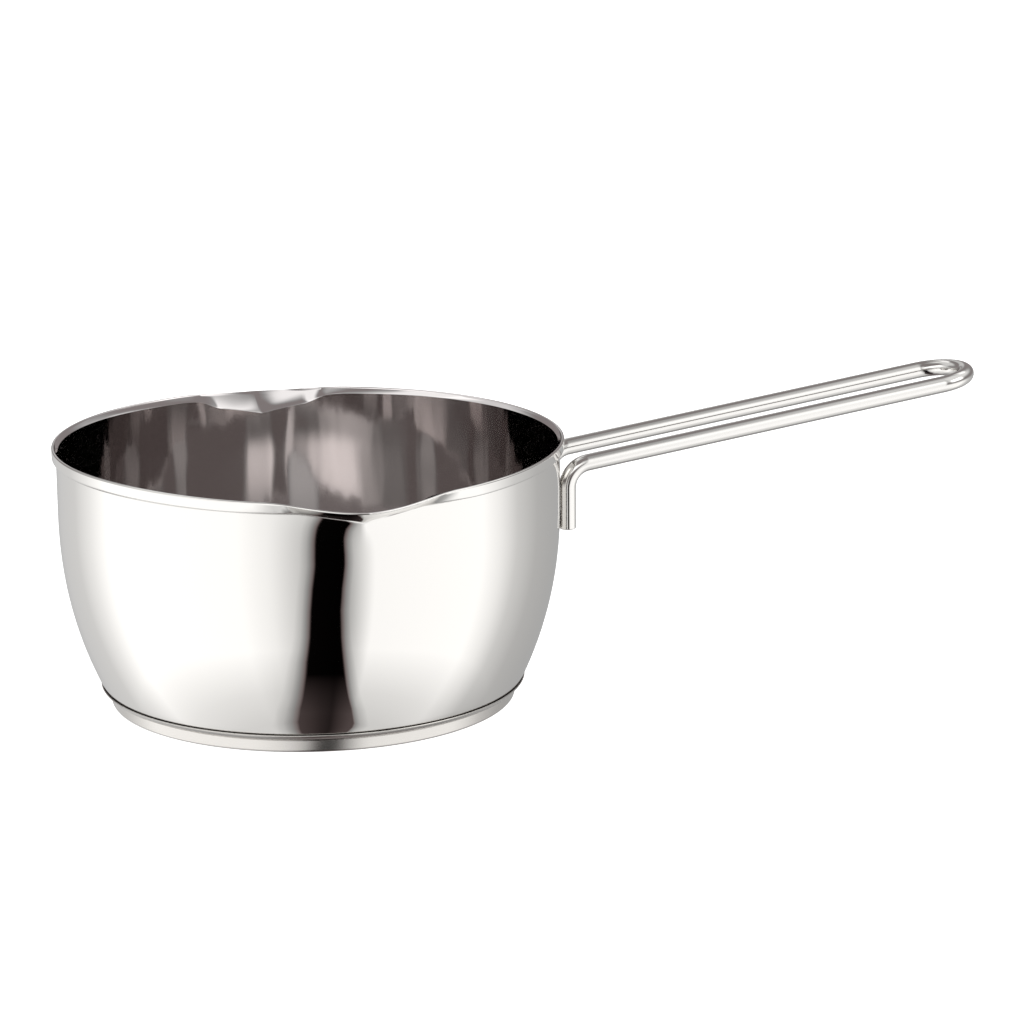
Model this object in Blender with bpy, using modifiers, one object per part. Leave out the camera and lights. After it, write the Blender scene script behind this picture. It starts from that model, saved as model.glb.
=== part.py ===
"""Conical saucepan with a flared pouring rim, two spouts, a capsule base and a bent-bar handle.

The frame: +Z up, origin at the bottom centre of the base, handle along +X, spouts at +Y and -Y.
"""

import math

import bmesh
import bpy
from mathutils import Vector

COLLECTION_NAME = "conical_saucepan"

# Clearance between pieces that touch on the real pan
GAP = 0.0003

# Pan body: one drawn sheet, measured on its outside
BODY_SHEET = 0.0008
WALL_RADIUS = 0.1008
WALL_DRAW_IN = 0.0151
CURVE_HEIGHT = 0.0716
CURVE_POWER = 2.22
UPRIGHT_HEIGHT = 0.0206
CORNER_RADIUS = 0.006

# Flared rim above the crease
LIP_HEIGHT = 0.0049
LIP_FLARE = 0.0017
LIP_BEND_POWER = 1.3

# The rim sweeps down and outwards on either side of each spout
SWEEP_REACH = 0.0046
SWEEP_EDGE_DIP = 0.0021
SWEEP_CREASE_DIP = 0.0015
SWEEP_HALF_WIDTH = 0.1144

# Spouts, pressed out of the middle of each sweep
SPOUT_REACH = 0.0079
SPOUT_EDGE_DIP = 0.0026
SPOUT_HALF_WIDTH = 0.037
SPOUT_PULL = 0.001
SPOUT_BEND_POWER = 1.15

# The folded crease under each spout
FOLD_DIP = 0.0042
FOLD_HALF_WIDTH = 0.0248
FOLD_POWER = 1.2
FOLD_FADE_POWER = 1.5

# Heat-spreading disc and the cap that closes it in
DISC_THICKNESS = 0.0044
DISC_BEVEL = 0.0012
CAP_SHEET = 0.0005
CAP_STEP = 0.0017
CAP_EDGE_RADIUS = 0.0013
CAP_LIP_ANGLE = math.radians(26)

# Handle: one round bar bent into a hairpin loop
ROD_RADIUS = 0.003
ROD_SPACING = 0.0309
ROD_SLOPE = math.radians(8.55)
ROD_LENGTH = 0.1641
BEND_RADIUS = 0.01
KNEE_HEIGHT = 0.0911
LEG_FOOT_HEIGHT = 0.0651

# Facets
MERGE_DISTANCE = 0.00001
LIP_ROWS = 4
CURVE_ROWS = 9
CORNER_ROWS = 5
UPRIGHT_ROW_SHARES = (0.08, 0.2, 0.45, 1.0)
SPOUT_COLUMNS = 20
WALL_COLUMNS = 24
CAP_COLUMNS = 88
CAP_EDGE_ROWS = 3
CAP_LIP_ROWS = 4
BEND_STEPS = 7
LOOP_STEPS = 8
ROD_RESOLUTION = 5
SMOOTH_LIMIT = math.radians(30)

# Heights and radii that follow from the sizes above
BODY_BOTTOM = CAP_SHEET + GAP + DISC_THICKNESS + GAP
FOOT_SLOPE = math.atan(CURVE_POWER * WALL_DRAW_IN / CURVE_HEIGHT)
CORNER_HEIGHT = BODY_BOTTOM + CORNER_RADIUS
FOOT_HEIGHT = CORNER_HEIGHT - CORNER_RADIUS * math.sin(FOOT_SLOPE)
CURVE_TOP = FOOT_HEIGHT + CURVE_HEIGHT
CREASE_HEIGHT = CURVE_TOP + UPRIGHT_HEIGHT
CORNER_CENTRE = WALL_RADIUS - WALL_DRAW_IN - CORNER_RADIUS * math.cos(FOOT_SLOPE)
CAP_RADIUS = CORNER_CENTRE + CAP_STEP


def clear_scene():
    for item in list(bpy.data.objects):
        bpy.data.objects.remove(item, do_unlink=True)


def make_collection():
    collection = bpy.data.collections.new(COLLECTION_NAME)
    bpy.context.scene.collection.children.link(collection)
    return collection


def metal(name, colour, roughness):
    """Bare metal of one colour, given as linear red, green and blue."""
    material = bpy.data.materials.new(name)
    material.use_nodes = True
    shader = material.node_tree.nodes["Principled BSDF"]
    shader.inputs["Base Color"].default_value = (*colour, 1)
    shader.inputs["Metallic"].default_value = 1
    shader.inputs["Roughness"].default_value = roughness
    return material


def place(collection, name, data, material):
    """Adds an object for the mesh or curve, with its own material."""
    data.materials.append(material)
    piece = bpy.data.objects.new(name, data)
    collection.objects.link(piece)
    return piece


def smooth(mesh):
    mesh.shade_smooth()
    mesh.set_sharp_from_angle(angle=SMOOTH_LIMIT)


def thicken(piece, thickness):
    """Gives an outside surface its sheet thickness, inwards."""
    solidify = piece.modifiers.new("Sheet", "SOLIDIFY")
    solidify.thickness = thickness
    solidify.offset = -1
    solidify.use_even_offset = True
    solidify.use_quality_normals = True


def arc(centre_radius, centre_height, radius, start, end, steps):
    """Profile points on an arc. Angles are measured from straight out, positive upwards."""
    points = []
    for step in range(steps + 1):
        angle = start + (end - start) * step / steps
        points.append(
            (
                centre_radius + radius * math.cos(angle),
                centre_height + radius * math.sin(angle),
            )
        )
    return points


def wall_radius(height):
    """Outside radius of the wall between the corner at the bottom and the crease under the lip."""
    drop = max(CURVE_TOP - height, 0) / CURVE_HEIGHT
    return WALL_RADIUS - WALL_DRAW_IN * drop**CURVE_POWER


def lip_share(rise):
    """How much of the flare is reached part of the way up the plain lip, which ends almost upright."""
    return math.sin(math.pi / 2 * rise) ** LIP_BEND_POWER


def body_profile():
    """Outside of the plain pan as radius and height, from the rim's edge down to the axis."""
    points = []
    for row in range(LIP_ROWS):
        rise = 1 - row / LIP_ROWS
        radius = WALL_RADIUS + LIP_FLARE * lip_share(rise)
        points.append((radius, CREASE_HEIGHT + LIP_HEIGHT * rise))
    points.append((WALL_RADIUS, CREASE_HEIGHT))
    for share in UPRIGHT_ROW_SHARES:
        points.append((WALL_RADIUS, CREASE_HEIGHT - UPRIGHT_HEIGHT * share))
    for row in range(1, CURVE_ROWS):
        height = CURVE_TOP - CURVE_HEIGHT * row / CURVE_ROWS
        points.append((wall_radius(height), height))
    points += arc(
        CORNER_CENTRE,
        CORNER_HEIGHT,
        CORNER_RADIUS,
        -FOOT_SLOPE,
        -math.pi / 2,
        CORNER_ROWS,
    )
    points.append((0, BODY_BOTTOM))
    return points


def spin_body(mesh, half_angle):
    """Turns the profile about the axis, with finer steps across the two spouts."""
    start = -math.pi / 2 - half_angle
    spout_sector = (2 * half_angle, SPOUT_COLUMNS)
    wall_sector = (math.pi - 2 * half_angle, WALL_COLUMNS)
    verts = []
    for radius, height in body_profile():
        place_at = (radius * math.cos(start), radius * math.sin(start), height)
        verts.append(mesh.verts.new(place_at))
    last = list(verts)
    for upper, lower in zip(verts, verts[1:]):
        last.append(mesh.edges.new((upper, lower)))
    for angle, steps in (spout_sector, wall_sector) * 2:
        turned = bmesh.ops.spin(
            mesh,
            geom=last,
            cent=(0, 0, 0),
            axis=(0, 0, 1),
            angle=angle,
            steps=steps,
            use_duplicate=False,
        )
        last = turned["geom_last"]
    bmesh.ops.remove_doubles(mesh, verts=mesh.verts, dist=MERGE_DISTANCE)
    bmesh.ops.recalc_face_normals(mesh, faces=mesh.faces)


def swell_share(azimuth, half_width):
    """One at the middle of a spout, falling smoothly to zero at half the width along the rim."""
    across = min(abs(azimuth) * WALL_RADIUS / half_width, 1)
    return (1 + math.cos(math.pi * across)) / 2


def press_point(point):
    """Where a point of the plain pan lies once the nearer spout has been pressed."""
    azimuth = math.atan2(point.x, abs(point.y))
    sweep = swell_share(azimuth, SWEEP_HALF_WIDTH)
    swell = swell_share(azimuth, SPOUT_HALF_WIDTH)
    fold = max(1 - abs(azimuth) * WALL_RADIUS / FOLD_HALF_WIDTH, 0) ** FOLD_POWER
    crease_dip = SWEEP_CREASE_DIP * sweep + FOLD_DIP * fold
    edge_dip = SWEEP_EDGE_DIP * sweep + SPOUT_EDGE_DIP * swell
    radius = math.hypot(point.x, point.y)
    rise = (point.z - CREASE_HEIGHT) / LIP_HEIGHT
    depth = (CREASE_HEIGHT - point.z) / UPRIGHT_HEIGHT
    if rise > 0:
        share = lip_share(rise)
        share += (rise**SPOUT_BEND_POWER - share) * swell
        reach = LIP_FLARE + SWEEP_REACH * sweep + (SPOUT_REACH - SPOUT_PULL) * swell
        new_radius = WALL_RADIUS + SPOUT_PULL * swell + reach * share
        crease = CREASE_HEIGHT - crease_dip
        edge = CREASE_HEIGHT + LIP_HEIGHT - edge_dip
        height = crease + (edge - crease) * rise
    else:
        fade = max(1 - depth, 0) ** FOLD_FADE_POWER
        new_radius = radius + SPOUT_PULL * swell * fade**2
        height = point.z - crease_dip * fade
    scale = new_radius / radius
    return Vector((point.x * scale, point.y * scale, height))


def make_body(collection, steel):
    """The drawn pan: bottom, wall, flared rim and the two pressed spouts."""
    shape = bmesh.new()
    spin_body(shape, SPOUT_HALF_WIDTH / WALL_RADIUS)
    for vert in shape.verts:
        if vert.co.z > CURVE_TOP:
            vert.co = press_point(vert.co)
    mesh = bpy.data.meshes.new("pan_body")
    shape.to_mesh(mesh)
    shape.free()
    smooth(mesh)
    body = place(collection, "pan_body", mesh, steel)
    thicken(body, BODY_SHEET)
    return body


def make_disc(collection, aluminium):
    """The disc that spreads the heat, between the pan's bottom and the cap."""
    shape = bmesh.new()
    radius = CAP_RADIUS - CAP_SHEET - GAP
    bmesh.ops.create_cone(
        shape,
        cap_ends=True,
        segments=CAP_COLUMNS,
        radius1=radius,
        radius2=radius,
        depth=DISC_THICKNESS,
    )
    mesh = bpy.data.meshes.new("heat_disc")
    shape.to_mesh(mesh)
    shape.free()
    smooth(mesh)
    disc = place(collection, "heat_disc", mesh, aluminium)
    disc.location.z = CAP_SHEET + GAP + DISC_THICKNESS / 2
    bevel = disc.modifiers.new("Rounded edges", "BEVEL")
    bevel.width = DISC_BEVEL
    bevel.segments = 2
    return disc


def cap_profile():
    """Outside of the cap, from its trimmed edge down the corner and the side to the axis."""
    lip_radius = CORNER_RADIUS + GAP + CAP_SHEET
    seat_angle = -math.acos(CAP_STEP / lip_radius)
    points = arc(
        CORNER_CENTRE,
        CORNER_HEIGHT,
        lip_radius,
        -CAP_LIP_ANGLE,
        seat_angle,
        CAP_LIP_ROWS,
    )
    points += arc(
        CAP_RADIUS - CAP_EDGE_RADIUS,
        CAP_EDGE_RADIUS,
        CAP_EDGE_RADIUS,
        0,
        -math.pi / 2,
        CAP_EDGE_ROWS,
    )
    points.append((0, 0))
    return points


def make_cap(collection, steel):
    """The steel cup round the disc. Its trimmed edge stands proud of the wall all round."""
    mesh = bpy.data.meshes.new("base_cap")
    points = [(radius, 0, height) for radius, height in cap_profile()]
    edges = [(number, number + 1) for number in range(len(points) - 1)]
    mesh.from_pydata(points, edges, [])
    cap = place(collection, "base_cap", mesh, steel)
    screw = cap.modifiers.new("Turned", "SCREW")
    screw.steps = CAP_COLUMNS
    screw.render_steps = CAP_COLUMNS
    screw.use_merge_vertices = True
    screw.merge_threshold = MERGE_DISTANCE
    screw.use_smooth_shade = True
    thicken(cap, CAP_SHEET)
    return cap


def handle_side(side):
    """Centre line of one side of the handle, from the foot of its leg to the middle of the loop's end."""
    half_spacing = ROD_SPACING / 2
    leg_radius = WALL_RADIUS + GAP + ROD_RADIUS
    leg = Vector((math.sqrt(leg_radius**2 - half_spacing**2), side * half_spacing, 0))
    along = Vector((math.cos(ROD_SLOPE), 0, math.sin(ROD_SLOPE)))
    across = Vector((0, side, 0))
    turn = math.pi / 2 - ROD_SLOPE
    bend_start = KNEE_HEIGHT - BEND_RADIUS * math.tan(turn / 2)
    points = [leg + Vector((0, 0, LEG_FOOT_HEIGHT))]
    for step in range(BEND_STEPS + 1):
        angle = turn * step / BEND_STEPS
        inwards = BEND_RADIUS * (1 - math.cos(angle))
        upwards = bend_start + BEND_RADIUS * math.sin(angle)
        points.append(leg + Vector((inwards, 0, upwards)))
    loop_centre = Vector((leg.x, 0, KNEE_HEIGHT)) + along * ROD_LENGTH
    for step in range(LOOP_STEPS + 1):
        angle = math.pi / 2 * step / LOOP_STEPS
        outwards = along * math.sin(angle) + across * math.cos(angle)
        points.append(loop_centre + outwards * half_spacing)
    return points


def make_handle(collection, steel):
    """One bar: leg, bend, rod, loop end, rod, bend and leg."""
    right = handle_side(-1)
    left = handle_side(1)
    path = right + left[-2::-1]
    curve = bpy.data.curves.new("handle_loop", "CURVE")
    curve.dimensions = "3D"
    curve.twist_mode = "MINIMUM"
    curve.bevel_depth = ROD_RADIUS
    curve.bevel_resolution = ROD_RESOLUTION
    curve.use_fill_caps = True
    spline = curve.splines.new("POLY")
    spline.points.add(len(path) - 1)
    for target, point in zip(spline.points, path):
        target.co = (*point, 1)
    return place(collection, "handle_loop", curve, steel)


def main():
    clear_scene()
    collection = make_collection()
    polished = metal("Polished stainless steel", (0.62, 0.61, 0.6), 0.08)
    satin = metal("Satin stainless steel", (0.6, 0.59, 0.58), 0.3)
    bar = metal("Polished steel bar", (0.62, 0.61, 0.6), 0.12)
    aluminium = metal("Aluminium", (0.8, 0.8, 0.8), 0.4)
    make_body(collection, polished)
    make_disc(collection, aluminium)
    make_cap(collection, satin)
    make_handle(collection, bar)


main()
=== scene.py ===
"""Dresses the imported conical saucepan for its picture.

Metres, with +Z up, the handle along +X and the spouts at +Y and -Y.
"""

import math

import bmesh
import bpy
from bpy.props import FloatProperty, FloatVectorProperty, PointerProperty
from mathutils import Matrix, Vector


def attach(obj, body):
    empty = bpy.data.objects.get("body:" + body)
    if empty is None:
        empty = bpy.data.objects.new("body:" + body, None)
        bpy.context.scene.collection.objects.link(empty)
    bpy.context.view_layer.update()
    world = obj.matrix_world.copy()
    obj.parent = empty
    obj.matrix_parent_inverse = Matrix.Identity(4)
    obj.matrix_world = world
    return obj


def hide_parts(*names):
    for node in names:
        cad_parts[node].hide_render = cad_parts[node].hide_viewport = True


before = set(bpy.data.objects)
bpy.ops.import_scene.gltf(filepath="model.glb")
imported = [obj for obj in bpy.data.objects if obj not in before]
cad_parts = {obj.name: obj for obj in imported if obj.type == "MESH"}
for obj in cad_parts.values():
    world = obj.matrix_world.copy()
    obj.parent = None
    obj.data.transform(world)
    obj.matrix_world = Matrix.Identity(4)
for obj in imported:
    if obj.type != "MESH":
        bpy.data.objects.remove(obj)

bl_info = {
    "name": "Conical saucepan",
    "version": (1, 0, 0),
    "blender": (4, 5, 0),
    "location": "View3D > Sidebar > Saucepan",
    "description": "Builds a steel saucepan with two spouts, a capsule base and a bent-bar handle",
    "category": "Add Mesh",
}

# Lengths of the CAD that the user doesn't set: the gaps that stand for bonds and welds, and the disc
CLEARANCE = 0.0003
DISC_THICKNESS = 0.0044

# The rim's edge is folded outwards and down into a hem, which the CAD leaves out. The corner is a share of
# the lip's height, and the fullness a share of its flare. Near a spout the hem thins out to the single
# sheet, over this many times the spout's own angle.
HEM_THICKNESS = 0.0013
HEM_CORNER = 0.2
HEM_FULLNESS = 0.95
HEM_THINNING = 1.45
INNER_LIP_HEIGHT = 0.0019

# The groove that folding leaves in the wall under the hem
GROOVE_DEPTH = 0.0002
GROOVE_HEIGHT = 0.0007

# The rim's edge leans over towards a spout. It rises on its inner side and is rounded by these shares of its
# thickness.
SPOUT_LEAN = math.radians(66)
LEAN_RISE = 0.72
EDGE_ROUNDING = 0.45

# Powers that taper the spout's beak, the fold and the lip's flare outside and inside
BEAK_TAPER = 1.3
FOLD_TAPER = 1.2
OUTER_FLARE = 1.15
INNER_FLARE = 1.1

# Where the inner lip's foot rises beside a spout, in shares of the fold's angle
SHOULDER_START = 0.72
SHOULDER_WIDTH = 0.45

# Shares of the bar's radius that its sawn ends lose, and of the cap's sheet that its trimmed edge loses to
# their chamfer and rounding
BAR_CHAMFER = 0.1
CAP_ROUNDING = 0.4

# Rows and columns, close enough together for a mirror polish
LIP_ROWS = (0.9, 0.75, 0.6, 0.45, 0.3, 0.2, 0.14, 0.11, 0.08, 0.055, 0.035, 0.018, 0.006, 0)
INNER_ROWS = (0.85, 0.7, 0.55, 0.4, 0.27, 0.16, 0.09, 0.04, 0.015, 0)
UPRIGHT_ROWS = (
    0.003, 0.007, 0.012, 0.018, 0.025, 0.035, 0.05, 0.08, 0.12, 0.17, 0.23, 0.3, 0.4, 0.5, 0.62, 0.75, 0.88,
)
EDGE_ROWS = 8
CURVE_ROWS = 36
CORNER_ROWS = 10
BOTTOM_ROWS = (0.8, 0.6, 0.4, 0.2)
SPOUT_COLUMNS = 64
WALL_COLUMNS = 88
CAP_LIP_ROWS = 16
CAP_EDGE_ROWS = 8
CAP_BOTTOM_ROWS = (0.9, 0.7, 0.5, 0.3, 0.1, 0.001)
CAP_COLUMNS = 180
BEND_ROWS = 24
LOOP_ROWS = 32
BAR_SIDES = 40

# Edges that turn by more than these stay sharp, or are rounded on the cap
SHARP_ANGLE = math.radians(40)
TRIM_ANGLE = math.radians(50)

# The pan's bottom ends in a ring of this radius. A ring smaller than the distance is merged to one point.
CENTRE_RADIUS = 0.0001
MERGE_DISTANCE = 0.0005

# Noise seldom leaves this range
NOISE_RANGE = {"From Min": 0.3, "From Max": 0.7}

# The camera stands in front of the pan, a little to its left, and looks down at it
HEADING = math.radians(14.6)
PITCH = math.radians(90 - 13.84)
ROLL = -0.0079
CAMERA_PLACE = (-0.2728, -1.3699, 0.4184)
SENSOR_WIDTH = 36
LENS = 125.3

# The floor lies just under the pan, and is lifted to white where the camera sees it
FLOOR_HALF_SIZE = 4
FLOOR_HEIGHT = -0.00005
FLOOR_LIFT = 0.75
WHITE = (1, 1, 1, 1)

# Studio light by direction, where 1 is plain white. Bearings run round the pan from the side that the camera
# stands on, towards the picture's right. Bearings, heights and sizes are in degrees. The light of the ring,
# the table and the room, and the soft boxes, come from another program's fit to the photograph's tones.
# The ring of low panels, by bearing, and how much dimmer it looks in the table below. A ramp holds no more
# than 1, so the ring's light and the flag's bearings go into one as shares of the most.
RING_MOST = 2.0
RING_LIGHT = (
    (-180, 0.4), (-150, 0.75), (-130, 0.9), (-115, 1.25), (-100, 1.7), (-30, 1.6), (-15, 1.35), (-2, 0.9),
    (8, 0.5), (16, 0.3), (24, 0.9), (32, 1.5), (88, 1.6), (100, 1.3), (112, 0.9), (130, 0.65), (160, 0.5),
    (180, 0.4),
)
TABLE_SHARE = ((-90, 0.03), (-80, 0.25), (-73, 0.6), (-62, 0.61), (-52, 0.73), (-38, 1))

# Between two heights the ring gives way to a room, which is dim and a little warm. A soft box in it has the
# bearing and height of its middle, half its width and height, and its light. Its edges are soft over this
# share of the half sizes.
ROOM_START = -10
ROOM_END = 4
ROOM_LIGHT = 0.29
DIM_TINT = (1.3, 0.94, 0.93, 1)
DIM_MOST = 0.4
BOX_SOFTNESS = 0.4
SOFT_BOXES = (
    (-28, 24, 43, 11, 1.6),
    (30, 6, 7, 49, 1.15),
    (71, 27, 19, 13, 1.85),
    (-106, 47, 26, 29, 0.65),
    (92, 52, 55, 28, 0.8),
    (14, 40, 10, 8, 0.45),
    (-171, 24, 10, 13, 0.45),
    (-54, 5, 36, 14, 0.65),
    (146, 46, 17, 7, 0.85),
    (-147, 52, 22, 7, 1.05),
    (-96, 75, 43, 14, 0.2),
)

# A tall black flag stands beside the camera: height, bearing of its middle, and how much narrower it looks.
# Its tones go by bearing at its upper end, and the table lights its foot a little.
FLAG_MOST = 20
FLAG_MIDDLE = 11.3
FLAG_ROWS = (
    (-63, 12, 0.295), (-58, 11, 0.37), (-54, 10.3, 0.455), (-50, 9.8, 0.53), (-42, 9.2, 0.67),
    (-34, 9.2, 0.85), (-26, 9.2, 0.95), (-20, 10, 0.98), (-15, FLAG_MIDDLE, 1),
)
FLAG_TONES = (
    (-2, 1), (1, 0.8), (3, 0.5), (4.3, 0.3), (5.2, 0.03), (5.6, 0.002), (17.8, 0.002), (18.1, 0.05),
    (18.6, 0.35), (20, 0.7), (22.5, 1),
)
FOOT_START = -46
FOOT_END = -60
FOOT_LIGHT = 0.1


def linear(colour):
    """Linear red, green, blue and alpha of an sRGB colour written as #RRGGBB."""
    parts = [int(colour[start:start + 2], 16) / 255 for start in (1, 3, 5)]
    return [part / 12.92 if part <= 0.04045 else ((part + 0.055) / 1.055) ** 2.4 for part in parts] + [1]


class SaucepanSizes(bpy.types.PropertyGroup):
    """The pan's sizes, as in the CAD but for a finer dip beside the spouts, a lower cap edge and the bar.

    The bar is thicker than in the CAD. The handle is shorter, lower and narrower, to stay inside its box.
    """

    body_sheet: FloatProperty(
        name="Body sheet",
        description="Thickness of the pan's sheet",
        default=0.0008,
        unit="LENGTH",
    )
    wall_radius: FloatProperty(
        name="Wall radius",
        description="Outside radius of the upright wall",
        default=0.1008,
        unit="LENGTH",
    )
    wall_draw_in: FloatProperty(
        name="Draw-in",
        description="How far the wall draws in towards the base",
        default=0.0151,
        unit="LENGTH",
    )
    curve_height: FloatProperty(
        name="Curve height",
        description="Height of the curved part of the wall",
        default=0.0716,
        unit="LENGTH",
    )
    curve_power: FloatProperty(
        name="Curve power",
        description="How much of the draw-in lies near the base",
        default=2.22,
    )
    upright_height: FloatProperty(
        name="Upright height",
        description="Height of the upright part of the wall, up to the crease",
        default=0.0206,
        unit="LENGTH",
    )
    corner_radius: FloatProperty(
        name="Corner radius",
        description="Outside radius between the wall and the bottom",
        default=0.006,
        unit="LENGTH",
    )
    lip_height: FloatProperty(
        name="Lip height",
        description="Height of the flared rim above the crease",
        default=0.0049,
        unit="LENGTH",
    )
    lip_flare: FloatProperty(
        name="Lip flare",
        description="How far the rim flares out",
        default=0.0017,
        unit="LENGTH",
    )
    sweep_reach: FloatProperty(
        name="Sweep reach",
        description="How much further the rim reaches out where it sweeps towards a spout",
        default=0.0046,
        unit="LENGTH",
    )
    sweep_edge_dip: FloatProperty(
        name="Sweep edge dip",
        description="How far the rim's edge drops along the sweep",
        default=0.0012,
        unit="LENGTH",
    )
    sweep_crease_dip: FloatProperty(
        name="Sweep crease dip",
        description="How far the crease drops along the sweep",
        default=0.0015,
        unit="LENGTH",
    )
    sweep_half_width: FloatProperty(
        name="Sweep half width",
        description="Half of a sweep's width, along the rim",
        default=0.1144,
        unit="LENGTH",
    )
    spout_reach: FloatProperty(
        name="Spout reach",
        description="How much further still the rim reaches out at a spout",
        default=0.0079,
        unit="LENGTH",
    )
    spout_edge_dip: FloatProperty(
        name="Spout edge dip",
        description="How much further still the rim's edge drops at a spout",
        default=0.0026,
        unit="LENGTH",
    )
    spout_half_width: FloatProperty(
        name="Spout half width",
        description="Half of a spout's width, along the rim",
        default=0.037,
        unit="LENGTH",
    )
    spout_pull: FloatProperty(
        name="Spout pull",
        description="How far a spout pulls the wall below it outwards",
        default=0.001,
        unit="LENGTH",
    )
    fold_dip: FloatProperty(
        name="Fold dip",
        description="How far the crease drops to the fold's point under a spout",
        default=0.0042,
        unit="LENGTH",
    )
    fold_half_width: FloatProperty(
        name="Fold half width",
        description="Half of the fold's width, along the rim",
        default=0.0248,
        unit="LENGTH",
    )
    cap_sheet: FloatProperty(
        name="Cap sheet",
        description="Thickness of the cap's sheet",
        default=0.0005,
        unit="LENGTH",
    )
    cap_step: FloatProperty(
        name="Cap step",
        description="How far the cap's side stands outside the corner's centre",
        default=0.0017,
        unit="LENGTH",
    )
    cap_edge_radius: FloatProperty(
        name="Cap edge radius",
        description="Radius between the cap's side and its underside",
        default=0.0013,
        unit="LENGTH",
    )
    cap_lip_angle: FloatProperty(
        name="Cap lip angle",
        description="Where the cap's trimmed edge ends on the corner, below level",
        default=math.radians(32),
        unit="ROTATION",
    )
    rod_radius: FloatProperty(
        name="Bar radius",
        description="Radius of the handle's bar",
        default=0.00345,
        unit="LENGTH",
    )
    rod_spacing: FloatProperty(
        name="Bar spacing",
        description="Distance between the middles of the handle's two bars",
        default=0.0304,
        unit="LENGTH",
    )
    rod_slope: FloatProperty(
        name="Bar slope",
        description="How steeply the handle rises",
        default=math.radians(8.55),
        unit="ROTATION",
    )
    rod_length: FloatProperty(
        name="Bar length",
        description="Length from the knee to the middle of the loop's bend",
        default=0.1633,
        unit="LENGTH",
    )
    bend_radius: FloatProperty(
        name="Bend radius",
        description="Radius of the bends down to the legs",
        default=0.01,
        unit="LENGTH",
    )
    knee_height: FloatProperty(
        name="Knee height",
        description="Height where the bar and its leg would meet",
        default=0.09075,
        unit="LENGTH",
    )
    leg_foot_height: FloatProperty(
        name="Leg foot height",
        description="Height of the legs' lower ends",
        default=0.0651,
        unit="LENGTH",
    )


class SaucepanColours(bpy.types.PropertyGroup):
    """The colours of the pan's metals and of the floor."""

    polished: FloatVectorProperty(
        name="Polished steel",
        description="Mirror-polished outside of the pan",
        default=linear("#D2D0CD"),
        subtype="COLOR",
        size=4,
        min=0,
        max=1,
    )
    buffed: FloatVectorProperty(
        name="Buffed steel",
        description="Buffed inside of the pan",
        default=linear("#D3CFCE"),
        subtype="COLOR",
        size=4,
        min=0,
        max=1,
    )
    turned: FloatVectorProperty(
        name="Turned steel",
        description="Satin cap of the base",
        default=linear("#C0BDB9"),
        subtype="COLOR",
        size=4,
        min=0,
        max=1,
    )
    bar: FloatVectorProperty(
        name="Bar steel",
        description="Polished bar of the handle",
        default=linear("#D2D0CD"),
        subtype="COLOR",
        size=4,
        min=0,
        max=1,
    )
    aluminium: FloatVectorProperty(
        name="Aluminium",
        description="Disc inside the base",
        default=linear("#DADBDB"),
        subtype="COLOR",
        size=4,
        min=0,
        max=1,
    )
    floor: FloatVectorProperty(
        name="Floor",
        description="Floor that the pan stands on",
        default=linear("#F4F4F4"),
        subtype="COLOR",
        size=4,
        min=0,
        max=1,
    )


class Plan:
    """Heights and radii that follow from the sizes."""

    def __init__(self, sizes):
        self.body_bottom = sizes.cap_sheet + DISC_THICKNESS + 2 * CLEARANCE
        self.foot_slope = math.atan(sizes.curve_power * sizes.wall_draw_in / sizes.curve_height)
        self.corner_height = self.body_bottom + sizes.corner_radius
        self.foot_height = self.corner_height - sizes.corner_radius * math.sin(self.foot_slope)
        self.curve_top = self.foot_height + sizes.curve_height
        self.crease_height = self.curve_top + sizes.upright_height
        foot_radius = sizes.wall_radius - sizes.wall_draw_in
        self.corner_centre = foot_radius - sizes.corner_radius * math.cos(self.foot_slope)
        self.cap_radius = self.corner_centre + sizes.cap_step
        self.spout_angle = sizes.spout_half_width / sizes.wall_radius
        self.sweep_angle = sizes.sweep_half_width / sizes.wall_radius
        self.fold_angle = sizes.fold_half_width / sizes.wall_radius


def add_node(tree, kind, settings=(), values=(), stops=()):
    """Adds a node, sets its properties, fills its inputs with values or links, and sets a ramp's stops.

    A node among the values is linked by its first output.
    """
    node = tree.nodes.new(kind)
    for name, value in dict(settings).items():
        setattr(node, name, value)
    for name, value in dict(values).items():
        if isinstance(value, bpy.types.Node):
            value = value.outputs[0]
        if isinstance(value, bpy.types.NodeSocket):
            tree.links.new(value, node.inputs[name])
        else:
            node.inputs[name].default_value = value
    for number, (position, tone) in enumerate(stops):
        elements = node.color_ramp.elements
        if number < 2:
            elements[number].position = position
        else:
            elements.new(position)
        elements[number].color = (tone, tone, tone, 1)
    return node


def ramp_stops(rows, column=1, most=1):
    """Stops of a ramp from the first row's degrees to the last row's, with one column as shares of most."""
    low = rows[0][0]
    span = rows[-1][0] - low
    return [((row[0] - low) / span, row[column] / most) for row in rows]


def new_material(name, **settings):
    """A material whose shader has these values on its own sockets. Returns it, its tree and its shader."""
    material = bpy.data.materials.new(name)
    material.use_nodes = True
    tree = material.node_tree
    shader = tree.nodes["Principled BSDF"]
    for socket, value in settings.items():
        shader.inputs[socket.replace("_", " ")].default_value = value
    return material, tree, shader


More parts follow.
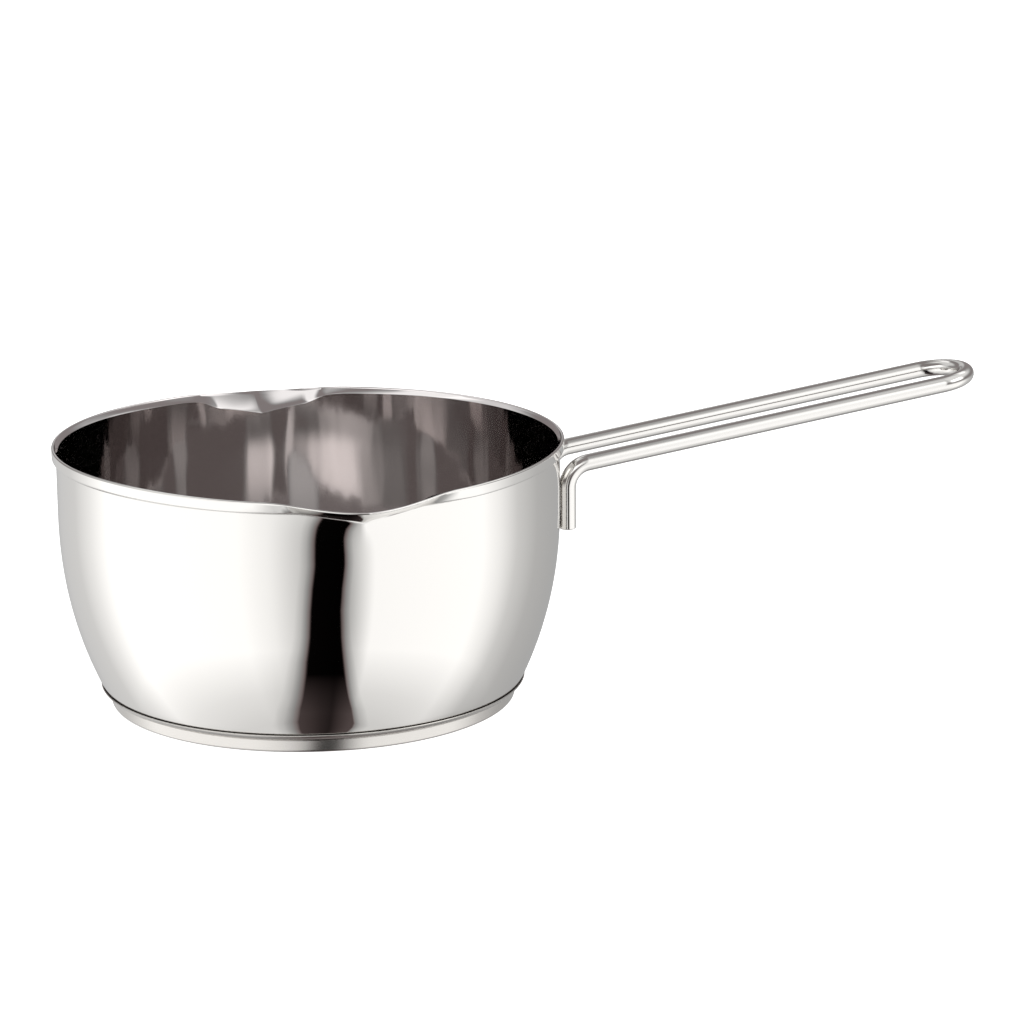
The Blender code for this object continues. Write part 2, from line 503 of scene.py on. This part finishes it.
def polished_steel(colour):
    """Austenitic stainless steel, drawn and then mirror-polished on wheels.

    The eye gets sharp reflections with a trace of haze, which comes and goes in patches.
    """
    material, tree, shader = new_material("Mirror-polished stainless steel", Metallic=1)
    shader.inputs["Base Color"].default_value = colour
    place = add_node(tree, "ShaderNodeTexCoord")
    # Haze patches some 25 mm wide
    haze = add_node(
        tree,
        "ShaderNodeTexNoise",
        values={"Vector": place.outputs["Object"], "Scale": 1 / 0.025, "Detail": 3},
    )
    finish = add_node(
        tree,
        "ShaderNodeMapRange",
        values={"Value": haze.outputs["Fac"], **NOISE_RANGE, "To Min": 0.015, "To Max": 0.03},
    )
    tree.links.new(finish.outputs["Result"], shader.inputs["Roughness"])
    return material


def buffed_steel(colour):
    """The same sheet inside the pan, buffed with a soft wheel, and less so on the flat bottom.

    The eye gets reflections almost as sharp as outside, which waver where drawing left the wall uneven.
    """
    material, tree, shader = new_material("Buffed stainless steel", Metallic=1)
    shader.inputs["Base Color"].default_value = colour
    place = add_node(tree, "ShaderNodeTexCoord")
    # The unevenness runs up the wall, in waves some 18 mm wide and 60 mm high
    stretch = add_node(
        tree,
        "ShaderNodeMapping",
        values={"Vector": place.outputs["Object"], "Scale": (1 / 0.018, 1 / 0.018, 1 / 0.06)},
    )
    waves = add_node(
        tree,
        "ShaderNodeTexNoise",
        values={"Vector": stretch.outputs["Vector"], "Scale": 1, "Detail": 1},
    )
    # The bottom, 6 mm up, stayed flat and satin. Both change to the wall's between 12 and 30 mm up
    parts = add_node(tree, "ShaderNodeSeparateXYZ", values={"Vector": place.outputs["Object"]})
    rise = {"Value": parts.outputs["Z"], "From Min": 0.012, "From Max": 0.03}
    uneven = add_node(tree, "ShaderNodeMapRange", values={**rise, "To Min": 0.04, "To Max": 0.3})
    finish = add_node(tree, "ShaderNodeMapRange", values={**rise, "To Min": 0.14, "To Max": 0.05})
    tree.links.new(finish.outputs["Result"], shader.inputs["Roughness"])
    bump = add_node(
        tree,
        "ShaderNodeBump",
        values={"Height": waves.outputs["Fac"], "Strength": uneven.outputs["Result"], "Distance": 0.001},
    )
    tree.links.new(bump.outputs["Normal"], shader.inputs["Normal"])
    return material


def turned_steel(colour):
    """Stainless-steel cap, pressed on and faced on a lathe to a satin finish.

    The eye gets a soft grey sheen, with fine rings round the side and on the underside.
    """
    material, tree, shader = new_material("Satin turned stainless steel", Metallic=1, Roughness=0.2)
    shader.inputs["Base Color"].default_value = colour
    place = add_node(tree, "ShaderNodeTexCoord")
    parts = add_node(tree, "ShaderNodeSeparateXYZ", values={"Vector": place.outputs["Object"]})
    flat = add_node(
        tree,
        "ShaderNodeCombineXYZ",
        values={"X": parts.outputs["X"], "Y": parts.outputs["Y"]},
    )
    radius = add_node(tree, "ShaderNodeVectorMath", {"operation": "LENGTH"}, {0: flat.outputs["Vector"]})
    across = add_node(
        tree,
        "ShaderNodeCombineXYZ",
        values={"X": radius.outputs["Value"], "Y": parts.outputs["Z"]},
    )
    # The tool's feed is about 0.1 mm a turn and is drawn 0.4 mm apart
    rings = add_node(
        tree,
        "ShaderNodeTexNoise",
        values={"Vector": across.outputs["Vector"], "Scale": 1 / 0.0004, "Detail": 3},
    )
    bump = add_node(
        tree,
        "ShaderNodeBump",
        values={"Height": rings.outputs["Fac"], "Strength": 0.15, "Distance": 0.00003},
    )
    tree.links.new(bump.outputs["Normal"], shader.inputs["Normal"])
    return material


def bar_steel(colour):
    """Stainless-steel round bar, drawn, bent cold and polished by tumbling.

    The eye gets bright streaks along the bar, a little softer than on the pan.
    """
    material, tree, shader = new_material("Tumble-polished steel bar", Metallic=1)
    shader.inputs["Base Color"].default_value = colour
    place = add_node(tree, "ShaderNodeTexCoord")
    # Tumbling marks about 1.5 mm wide
    marks = add_node(
        tree,
        "ShaderNodeTexNoise",
        values={"Vector": place.outputs["Object"], "Scale": 1 / 0.0015, "Detail": 2},
    )
    finish = add_node(
        tree,
        "ShaderNodeMapRange",
        values={"Value": marks.outputs["Fac"], **NOISE_RANGE, "To Min": 0.07, "To Max": 0.11},
    )
    tree.links.new(finish.outputs["Result"], shader.inputs["Roughness"])
    return material


def rolled_aluminium(colour):
    """Aluminium disc, blanked from rolled sheet.

    The eye gets a pale matt metal with faint lines along the rolling direction.
    """
    material, tree, shader = new_material("Rolled aluminium", Metallic=1, Roughness=0.4)
    shader.inputs["Base Color"].default_value = colour
    place = add_node(tree, "ShaderNodeTexCoord")
    # Rolling lines about 0.5 mm apart and 50 mm long
    stretch = add_node(
        tree,
        "ShaderNodeMapping",
        values={"Vector": place.outputs["Object"], "Scale": (1 / 0.05, 1 / 0.0005, 1 / 0.05)},
    )
    lines = add_node(
        tree,
        "ShaderNodeTexNoise",
        values={"Vector": stretch.outputs["Vector"], "Scale": 1, "Detail": 2},
    )
    bump = add_node(
        tree,
        "ShaderNodeBump",
        values={"Height": lines.outputs["Fac"], "Strength": 0.2, "Distance": 0.00002},
    )
    tree.links.new(bump.outputs["Normal"], shader.inputs["Normal"])
    return material


def matt_floor(colour):
    """Painted studio board, sprayed matt.

    The eye gets plain white. Metal, and light on its way to the pan, look through it to the studio.
    """
    material, tree, shader = new_material("Matt white studio board", Roughness=0.9)
    shader.inputs["Base Color"].default_value = colour
    shader.inputs["Specular IOR Level"].default_value = 0
    output = tree.nodes["Material Output"]
    path = add_node(tree, "ShaderNodeLightPath")
    shader.inputs["Emission Color"].default_value = WHITE
    lift = add_node(
        tree,
        "ShaderNodeMath",
        {"operation": "MULTIPLY"},
        {0: path.outputs["Is Camera Ray"], 1: FLOOR_LIFT},
    )
    tree.links.new(lift.outputs["Value"], shader.inputs["Emission Strength"])
    unseen = add_node(
        tree,
        "ShaderNodeMath",
        {"operation": "MAXIMUM"},
        {0: path.outputs["Is Glossy Ray"], 1: path.outputs["Is Shadow Ray"]},
    )
    clear = add_node(tree, "ShaderNodeBsdfTransparent")
    mix = add_node(
        tree,
        "ShaderNodeMixShader",
        values={0: unseen.outputs["Value"], 1: shader.outputs["BSDF"], 2: clear.outputs["BSDF"]},
    )
    tree.links.new(mix.outputs["Shader"], output.inputs["Surface"])
    return material


def add_piece(name, mesh, node):
    """Adds the mesh as a piece that stands for a CAD node."""
    piece = bpy.data.objects.new(name, mesh)
    bpy.context.scene.collection.objects.link(piece)
    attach(piece, "root")
    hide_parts(node)
    return piece


def arc(centre_radius, centre_height, radius, start, end, steps):
    """Profile points on an arc. Angles are measured from straight out, positive upwards."""
    points = []
    for step in range(steps + 1):
        angle = start + (end - start) * step / steps
        points.append((centre_radius + radius * math.cos(angle), centre_height + radius * math.sin(angle)))
    return points


def turn_profiles(shape, profiles, angles, lining=0):
    """Joins one profile at each angle into a turned skin. Its first rows are a lining in another finish."""
    rings = []
    for points in zip(*profiles):
        ring = []
        for (radius, height), angle in zip(points, angles):
            ring.append(shape.verts.new((radius * math.cos(angle), radius * math.sin(angle), height)))
        rings.append(ring)
    for column in range(len(angles)):
        for row, (upper, lower) in enumerate(zip(rings, rings[1:])):
            face = shape.faces.new((upper[column - 1], lower[column - 1], lower[column], upper[column]))
            face.material_index = int(row < lining)
    for ring in (rings[0], rings[-1]):
        if ring[0].co.xy.length < MERGE_DISTANCE:
            bmesh.ops.remove_doubles(shape, verts=ring, dist=MERGE_DISTANCE)


def wall_profile(sizes, plan, depth):
    """The wall below its upright part, the corner and the bottom, this deep inside the sheet's outside."""
    points = []
    for row in range(CURVE_ROWS):
        drop = row / CURVE_ROWS
        slope = sizes.curve_power * sizes.wall_draw_in * drop ** (sizes.curve_power - 1) / sizes.curve_height
        lean = math.atan(slope)
        radius = sizes.wall_radius - sizes.wall_draw_in * drop**sizes.curve_power
        height = plan.curve_top - sizes.curve_height * drop
        points.append((radius - depth * math.cos(lean), height + depth * math.sin(lean)))
    points += arc(
        plan.corner_centre,
        plan.corner_height,
        sizes.corner_radius - depth,
        -plan.foot_slope,
        -math.pi / 2,
        CORNER_ROWS,
    )
    points += [(plan.corner_centre * share, plan.body_bottom + depth) for share in BOTTOM_ROWS]
    points.append((CENTRE_RADIUS, plan.body_bottom + depth))
    return points


def swell_share(azimuth, half_angle):
    """One at the middle of a spout, falling smoothly to zero at half the angle that it takes up."""
    return (1 + math.cos(math.pi * min(azimuth / half_angle, 1))) / 2


def rim_profile(azimuth, sizes, plan):
    """Upright wall and rim at this angle from a spout, up the inside, over the edge and down the outside."""
    sweep = swell_share(azimuth, plan.sweep_angle)
    swell = swell_share(azimuth, plan.spout_angle)
    peak = (swell + max(1 - azimuth / plan.spout_angle, 0) ** BEAK_TAPER) / 2
    fold = max(1 - azimuth / plan.fold_angle, 0) ** FOLD_TAPER
    single = swell_share(azimuth, HEM_THINNING * plan.spout_angle)
    thickness = HEM_THICKNESS + (sizes.body_sheet - HEM_THICKNESS) * single
    rounding = EDGE_ROUNDING * thickness
    lean = SPOUT_LEAN * swell
    inwards = Vector((-math.cos(lean), math.sin(lean)))
    onwards = Vector((math.sin(lean), math.cos(lean)))
    reach = sizes.lip_flare + sizes.sweep_reach * sweep + sizes.spout_reach * peak
    # A leaning edge stands higher on its inner side
    dip = sizes.sweep_edge_dip * sweep + sizes.spout_edge_dip * swell
    dip += LEAN_RISE * thickness * math.sin(lean)
    top = Vector((sizes.wall_radius + reach, plan.crease_height + sizes.lip_height - dip))
    edge = top - onwards * rounding
    pull = sizes.spout_pull * swell
    crease_dip = sizes.sweep_crease_dip * sweep + sizes.fold_dip * fold
    crease = Vector((sizes.wall_radius + pull, plan.crease_height - crease_dip))
    outside = []
    for share in (1, *LIP_ROWS):
        corner = 1 - min(share / HEM_CORNER, 1)
        hem = HEM_FULLNESS * math.sqrt(1 - corner**2) + (1 - HEM_FULLNESS) * share
        out = hem + (share**OUTER_FLARE - hem) * single
        outside.append((crease.x + (edge.x - crease.x) * out, crease.y + (edge.y - crease.y) * share))
    for share in UPRIGHT_ROWS:
        drop = (crease.y - plan.curve_top) * share
        groove = GROOVE_DEPTH * max(1 - drop / GROOVE_HEIGHT, 0) ** 2
        outside.append((sizes.wall_radius + pull * (1 - share) ** 3 - groove, crease.y - drop))
    over = []
    half_way = inwards * thickness / 2
    for row in range(1, EDGE_ROWS):
        angle = math.pi * row / EDGE_ROWS
        over.append(tuple(edge + half_way * (1 - math.cos(angle)) + onwards * math.sin(angle) * rounding))
    inner_edge = edge + inwards * thickness
    # The inside keeps its full height up to the spout's shoulders
    shoulder = min(max((azimuth / plan.fold_angle - SHOULDER_START) / SHOULDER_WIDTH, 0), 1)
    shoulder *= shoulder * (3 - 2 * shoulder)
    plain = top.y - INNER_LIP_HEIGHT
    start = Vector((sizes.wall_radius - sizes.body_sheet, crease.y + (plain - crease.y) * shoulder))
    inside = []
    for share in (1, *INNER_ROWS):
        out = share**INNER_FLARE
        inside.append((start.x + (inner_edge.x - start.x) * out, start.y + (inner_edge.y - start.y) * share))
    for share in UPRIGHT_ROWS:
        inside.append((start.x, start.y + (plan.curve_top - start.y) * share))
    return inside[::-1] + over[::-1] + outside


def rim_columns(plan):
    """Angles of the pan's columns, closer together across the two spouts."""
    angles = []
    start = -math.pi / 2 - plan.spout_angle
    spout_span = 2 * plan.spout_angle
    for span, steps in ((spout_span, SPOUT_COLUMNS), (math.pi - spout_span, WALL_COLUMNS)) * 2:
        angles += [start + span * step / steps for step in range(steps)]
        start += span
    return angles


def handle_side(sizes, side):
    """Centre line of one side of the handle, from the foot of its leg to the middle of the loop's end."""
    half_spacing = sizes.rod_spacing / 2
    leg_radius = sizes.wall_radius + CLEARANCE + sizes.rod_radius
    leg = Vector((math.sqrt(leg_radius**2 - half_spacing**2), side * half_spacing, 0))
    along = Vector((math.cos(sizes.rod_slope), 0, math.sin(sizes.rod_slope)))
    across = Vector((0, side, 0))
    turn = math.pi / 2 - sizes.rod_slope
    bend_start = sizes.knee_height - sizes.bend_radius * math.tan(turn / 2)
    points = [leg + Vector((0, 0, sizes.leg_foot_height))]
    for step in range(BEND_ROWS + 1):
        angle = turn * step / BEND_ROWS
        inwards = sizes.bend_radius * (1 - math.cos(angle))
        upwards = bend_start + sizes.bend_radius * math.sin(angle)
        points.append(leg + Vector((inwards, 0, upwards)))
    loop_centre = Vector((leg.x, 0, sizes.knee_height)) + along * sizes.rod_length
    for step in range(LOOP_ROWS + 1):
        angle = math.pi / 2 * step / LOOP_ROWS
        outwards = along * math.sin(angle) + across * math.cos(angle)
        points.append(loop_centre + outwards * half_spacing)
    return points


def sweep_bar(shape, path, radii):
    """Sweeps a circle of each radius along the path and closes both ends."""
    tangents = []
    for number in range(len(path)):
        before = path[max(number - 1, 0)]
        after = path[min(number + 1, len(path) - 1)]
        tangents.append((after - before).normalized())
    side = Vector((1, 0, 0)) if abs(tangents[0].x) < 0.9 else Vector((0, 1, 0))
    rings = []
    for point, tangent, radius in zip(path, tangents, radii):
        side = (side - tangent * side.dot(tangent)).normalized()
        up = tangent.cross(side)
        ring = []
        for number in range(BAR_SIDES):
            angle = 2 * math.pi * number / BAR_SIDES
            ring.append(shape.verts.new(point + (side * math.cos(angle) + up * math.sin(angle)) * radius))
        rings.append(ring)
    for first, second in zip(rings, rings[1:]):
        for number in range(BAR_SIDES):
            shape.faces.new((first[number - 1], first[number], second[number], second[number - 1]))
    shape.faces.new(rings[0][::-1])
    shape.faces.new(rings[-1])


def to_mesh(name, shape, materials):
    """Turns the shape into a smooth mesh with these materials."""
    mesh = bpy.data.meshes.new(name)
    shape.to_mesh(mesh)
    shape.free()
    for material in materials:
        mesh.materials.append(material)
    mesh.shade_smooth()
    mesh.set_sharp_from_angle(angle=SHARP_ANGLE)
    return mesh


class SAUCEPAN_OT_pan_shell(bpy.types.Operator):
    """Builds the drawn pan with its flared rim and two pressed spouts"""

    bl_idname = "saucepan.pan_shell"
    bl_label = "Pan shell"

    def execute(self, context):
        sizes = context.scene.saucepan_sizes
        colours = context.scene.saucepan_colours
        plan = Plan(sizes)
        shape = bmesh.new()
        outside = wall_profile(sizes, plan, 0)
        inside = wall_profile(sizes, plan, sizes.body_sheet)[::-1]
        angles = rim_columns(plan)
        profiles = []
        for angle in angles:
            azimuth = math.atan2(abs(math.cos(angle)), abs(math.sin(angle)))
            profiles.append(inside + rim_profile(azimuth, sizes, plan) + outside)
        lining = len(inside) + len(UPRIGHT_ROWS) + len(INNER_ROWS) + EDGE_ROWS // 2
        turn_profiles(shape, profiles, angles, lining)
        materials = [polished_steel(colours.polished), buffed_steel(colours.buffed)]
        add_piece("pan_shell", to_mesh("pan_shell", shape, materials), "pan_body")
        return {"FINISHED"}


class SAUCEPAN_OT_base_shell(bpy.types.Operator):
    """Builds the cap of the base, with its trimmed edge standing proud of the wall"""

    bl_idname = "saucepan.base_shell"
    bl_label = "Base shell"

    def execute(self, context):
        sizes = context.scene.saucepan_sizes
        plan = Plan(sizes)
        lip_radius = sizes.corner_radius + CLEARANCE + sizes.cap_sheet
        seat_angle = -math.acos(sizes.cap_step / lip_radius)
        profile = arc(
            plan.corner_centre,
            plan.corner_height,
            lip_radius,
            -sizes.cap_lip_angle,
            seat_angle,
            CAP_LIP_ROWS,
        )
        radius = sizes.cap_edge_radius
        profile += arc(plan.cap_radius - radius, radius, radius, 0, -math.pi / 2, CAP_EDGE_ROWS)
        profile += [(plan.cap_radius * share, 0) for share in CAP_BOTTOM_ROWS]
        shape = bmesh.new()
        angles = [2 * math.pi * column / CAP_COLUMNS for column in range(CAP_COLUMNS)]
        turn_profiles(shape, [profile] * CAP_COLUMNS, angles)
        mesh = to_mesh("base_shell", shape, [turned_steel(context.scene.saucepan_colours.turned)])
        piece = add_piece("base_shell", mesh, "base_cap")
        sheet = piece.modifiers.new("Sheet", "SOLIDIFY")
        sheet.thickness = sizes.cap_sheet
        sheet.offset = -1
        sheet.use_even_offset = True
        edge = piece.modifiers.new("Trimmed edge", "BEVEL")
        edge.limit_method = "ANGLE"
        edge.angle_limit = TRIM_ANGLE
        edge.width = CAP_ROUNDING * sizes.cap_sheet
        edge.segments = 3
        edge.harden_normals = True
        return {"FINISHED"}


class SAUCEPAN_OT_heat_disc(bpy.types.Operator):
    """Gives the disc inside the base its rolled aluminium"""

    bl_idname = "saucepan.heat_disc"
    bl_label = "Heat disc"

    def execute(self, context):
        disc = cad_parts["heat_disc"]
        disc.material_slots[0].material = rolled_aluminium(context.scene.saucepan_colours.aluminium)
        return {"FINISHED"}


class SAUCEPAN_OT_handle_bar(bpy.types.Operator):
    """Builds the handle from one round bar with two legs"""

    bl_idname = "saucepan.handle_bar"
    bl_label = "Handle bar"

    def execute(self, context):
        sizes = context.scene.saucepan_sizes
        right = handle_side(sizes, -1)
        left = handle_side(sizes, 1)
        path = right + left[-2::-1]
        radii = [sizes.rod_radius] * len(path)
        # The near leg's sawn end has a small chamfer, and the far leg's is folded inwards by as much
        chamfer = sizes.rod_radius * BAR_CHAMFER
        for end, inner, place in ((0, 1, 1), (-1, -2, len(path) + 1)):
            inwards = (path[inner] - path[end]).normalized() * chamfer
            path.insert(place, path[end] + inwards)
            radii.insert(place, sizes.rod_radius)
            radii[end] = sizes.rod_radius - chamfer
        shape = bmesh.new()
        sweep_bar(shape, path, radii)
        mesh = to_mesh("handle_bar", shape, [bar_steel(context.scene.saucepan_colours.bar)])
        add_piece("handle_bar", mesh, "handle_loop")
        return {"FINISHED"}


class SAUCEPAN_OT_stage(bpy.types.Operator):
    """Sets up the floor, the studio light and the camera"""

    bl_idname = "saucepan.stage"
    bl_label = "Stage"

    def execute(self, context):
        scene = context.scene
        self.lay_floor(scene)
        self.light_studio(scene)
        self.place_camera(scene)
        scene.view_settings.view_transform = "Standard"
        return {"FINISHED"}

    def lay_floor(self, scene):
        shape = bmesh.new()
        bmesh.ops.create_grid(shape, x_segments=2, y_segments=2, size=FLOOR_HALF_SIZE)
        mesh = to_mesh("floor", shape, [matt_floor(scene.saucepan_colours.floor)])
        floor = bpy.data.objects.new("floor", mesh)
        floor.location.z = FLOOR_HEIGHT
        scene.collection.objects.link(floor)

    def light_studio(self, scene):
        """Bright panels low down, a dim room above them and a black flag beside the camera."""
        world = bpy.data.worlds.new("Studio")
        scene.world = world
        world.use_nodes = True
        tree = world.node_tree
        background = tree.nodes["Background"]
        place = add_node(tree, "ShaderNodeTexCoord")
        turned = add_node(
            tree,
            "ShaderNodeVectorRotate",
            {"rotation_type": "Z_AXIS"},
            {"Vector": place.outputs["Generated"], "Angle": HEADING},
        )
        parts = add_node(tree, "ShaderNodeSeparateXYZ", values={"Vector": turned})
        back = add_node(tree, "ShaderNodeMath", {"operation": "MULTIPLY"}, {0: parts.outputs["Y"], 1: -1})
        around = add_node(tree, "ShaderNodeMath", {"operation": "ARCTAN2"}, {0: parts.outputs["X"], 1: back})
        bearing = add_node(tree, "ShaderNodeMath", {"operation": "DEGREES"}, {0: around})
        above = add_node(tree, "ShaderNodeMath", {"operation": "ARCSINE"}, {0: parts.outputs["Z"]})
        height = add_node(tree, "ShaderNodeMath", {"operation": "DEGREES"}, {0: above})
        ring = self.light_ring(tree, bearing, height)
        room = self.light_room(tree, bearing, height)
        upper = add_node(
            tree,
            "ShaderNodeMapRange",
            values={"Value": height, "From Min": ROOM_START, "From Max": ROOM_END},
        )
        # A Mix node's sockets go by number, because their names repeat
        tone = add_node(tree, "ShaderNodeMix", {"data_type": "FLOAT"}, {0: upper, 2: ring, 3: room})
        bright = add_node(
            tree,
            "ShaderNodeMapRange",
            values={"Value": tone, "From Min": 0, "From Max": DIM_MOST},
        )
        tint = add_node(tree, "ShaderNodeMix", {"data_type": "RGBA"}, {0: bright, 6: DIM_TINT, 7: WHITE})
        path = add_node(tree, "ShaderNodeLightPath")
        seen = path.outputs["Is Camera Ray"]
        colour = add_node(
            tree,
            "ShaderNodeMix",
            {"data_type": "RGBA"},
            {0: seen, 6: tint.outputs[2], 7: WHITE},
        )
        strength = add_node(tree, "ShaderNodeMix", {"data_type": "FLOAT"}, {0: seen, 2: tone, 3: 1})
        tree.links.new(colour.outputs[2], background.inputs["Color"])
        tree.links.new(strength.outputs[0], background.inputs["Strength"])

    def light_ring(self, tree, bearing, height):
        """Panels round the pan, dimmer in the table, and the flag that hides some of them."""
        spans = []
        for value, low, high in (
            (bearing, RING_LIGHT[0][0], RING_LIGHT[-1][0]),
            (height, TABLE_SHARE[0][0], TABLE_SHARE[-1][0]),
            (height, FLAG_ROWS[0][0], FLAG_ROWS[-1][0]),
            (height, FOOT_START, FOOT_END),
        ):
            values = {"Value": value, "From Min": low, "From Max": high}
            spans.append(add_node(tree, "ShaderNodeMapRange", values=values))
        turn, depth, rise, foot = spans
        ring = add_node(
            tree,
            "ShaderNodeValToRGB",
            values={"Fac": turn},
            stops=ramp_stops(RING_LIGHT, most=RING_MOST),
        )
        ring = add_node(tree, "ShaderNodeMath", {"operation": "MULTIPLY"}, {0: ring, 1: RING_MOST})
        table = add_node(tree, "ShaderNodeValToRGB", values={"Fac": depth}, stops=ramp_stops(TABLE_SHARE))
        ring = add_node(tree, "ShaderNodeMath", {"operation": "MULTIPLY"}, {0: ring, 1: table})
        # The flag leans and looks narrower towards the table
        middle = add_node(
            tree,
            "ShaderNodeValToRGB",
            values={"Fac": rise},
            stops=ramp_stops(FLAG_ROWS, most=FLAG_MOST),
        )
        width = add_node(
            tree,
            "ShaderNodeValToRGB",
            values={"Fac": rise},
            stops=ramp_stops(FLAG_ROWS, column=2),
        )
        aside = add_node(
            tree,
            "ShaderNodeMath",
            {"operation": "MULTIPLY_ADD"},
            {0: middle, 1: -FLAG_MOST, 2: bearing},
        )
        eased = add_node(
            tree,
            "ShaderNodeMath",
            {"operation": "MULTIPLY_ADD"},
            {0: aside, 1: width, 2: FLAG_MIDDLE},
        )
        across = add_node(
            tree,
            "ShaderNodeMapRange",
            values={"Value": eased, "From Min": FLAG_TONES[0][0], "From Max": FLAG_TONES[-1][0]},
        )
        flag = add_node(tree, "ShaderNodeValToRGB", values={"Fac": across}, stops=ramp_stops(FLAG_TONES))
        foot = add_node(tree, "ShaderNodeMath", {"operation": "MULTIPLY"}, {0: foot, 1: FOOT_LIGHT})
        flag = add_node(tree, "ShaderNodeMath", {"operation": "MAXIMUM"}, {0: flag, 1: foot})
        return add_node(tree, "ShaderNodeMath", {"operation": "MULTIPLY"}, {0: ring, 1: flag})

    def light_room(self, tree, bearing, height):
        """A dim room with soft boxes, which fall off smoothly round their edges."""
        room = ROOM_LIGHT
        for place, level, half_width, half_height, light in SOFT_BOXES:
            aside = add_node(tree, "ShaderNodeMath", {"operation": "SUBTRACT"}, {0: bearing, 1: place})
            aside = add_node(tree, "ShaderNodeMath", {"operation": "WRAP"}, {0: aside, 1: 180, 2: -180})
            above = add_node(tree, "ShaderNodeMath", {"operation": "SUBTRACT"}, {0: height, 1: level})
            shares = []
            for offset, half_size in ((aside, half_width), (above, half_height)):
                distance = add_node(tree, "ShaderNodeMath", {"operation": "ABSOLUTE"}, {0: offset})
                edges = {
                    "Value": distance,
                    "From Min": (1 + BOX_SOFTNESS) * half_size,
                    "From Max": (1 - BOX_SOFTNESS) * half_size,
                }
                share = add_node(tree, "ShaderNodeMapRange", {"interpolation_type": "SMOOTHSTEP"}, edges)
                shares.append(share)
            lit = add_node(tree, "ShaderNodeMath", {"operation": "MULTIPLY"}, dict(enumerate(shares)))
            room = add_node(
                tree,
                "ShaderNodeMath",
                {"operation": "MULTIPLY_ADD"},
                {0: lit, 1: light, 2: room},
            )
        return room

    def place_camera(self, scene):
        camera = bpy.data.cameras.new("camera")
        camera.sensor_width = SENSOR_WIDTH
        camera.lens = LENS
        holder = bpy.data.objects.new("camera", camera)
        heading = Matrix.Rotation(-HEADING, 4, "Z")
        pitch = Matrix.Rotation(PITCH, 4, "X")
        roll = Matrix.Rotation(ROLL, 4, "Z")
        holder.matrix_world = Matrix.Translation(CAMERA_PLACE) @ heading @ pitch @ roll
        scene.collection.objects.link(holder)
        scene.camera = holder


STEPS = (
    SAUCEPAN_OT_pan_shell,
    SAUCEPAN_OT_base_shell,
    SAUCEPAN_OT_heat_disc,
    SAUCEPAN_OT_handle_bar,
    SAUCEPAN_OT_stage,
)


class SAUCEPAN_PT_panel(bpy.types.Panel):
    """Lists the steps that build the saucepan, and its sizes and colours"""

    bl_idname = "SAUCEPAN_PT_panel"
    bl_label = "Conical saucepan"
    bl_space_type = "VIEW_3D"
    bl_region_type = "UI"
    bl_category = "Saucepan"

    def draw(self, context):
        for step in STEPS:
            self.layout.operator(step.bl_idname)
        for group in (context.scene.saucepan_sizes, context.scene.saucepan_colours):
            for name in group.bl_rna.properties.keys():
                if name not in ("rna_type", "name"):
                    self.layout.prop(group, name)


CLASSES = (SaucepanSizes, SaucepanColours, *STEPS, SAUCEPAN_PT_panel)


def register():
    for item in CLASSES:
        bpy.utils.register_class(item)
    bpy.types.Scene.saucepan_sizes = PointerProperty(type=SaucepanSizes)
    bpy.types.Scene.saucepan_colours = PointerProperty(type=SaucepanColours)


def unregister():
    del bpy.types.Scene.saucepan_colours
    del bpy.types.Scene.saucepan_sizes
    for item in reversed(CLASSES):
        bpy.utils.unregister_class(item)


def main():
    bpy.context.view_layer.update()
    register()
    bpy.ops.saucepan.pan_shell()
    bpy.ops.saucepan.base_shell()
    bpy.ops.saucepan.heat_disc()
    bpy.ops.saucepan.handle_bar()
    bpy.ops.saucepan.stage()


if __name__ == "__main__":
    main()
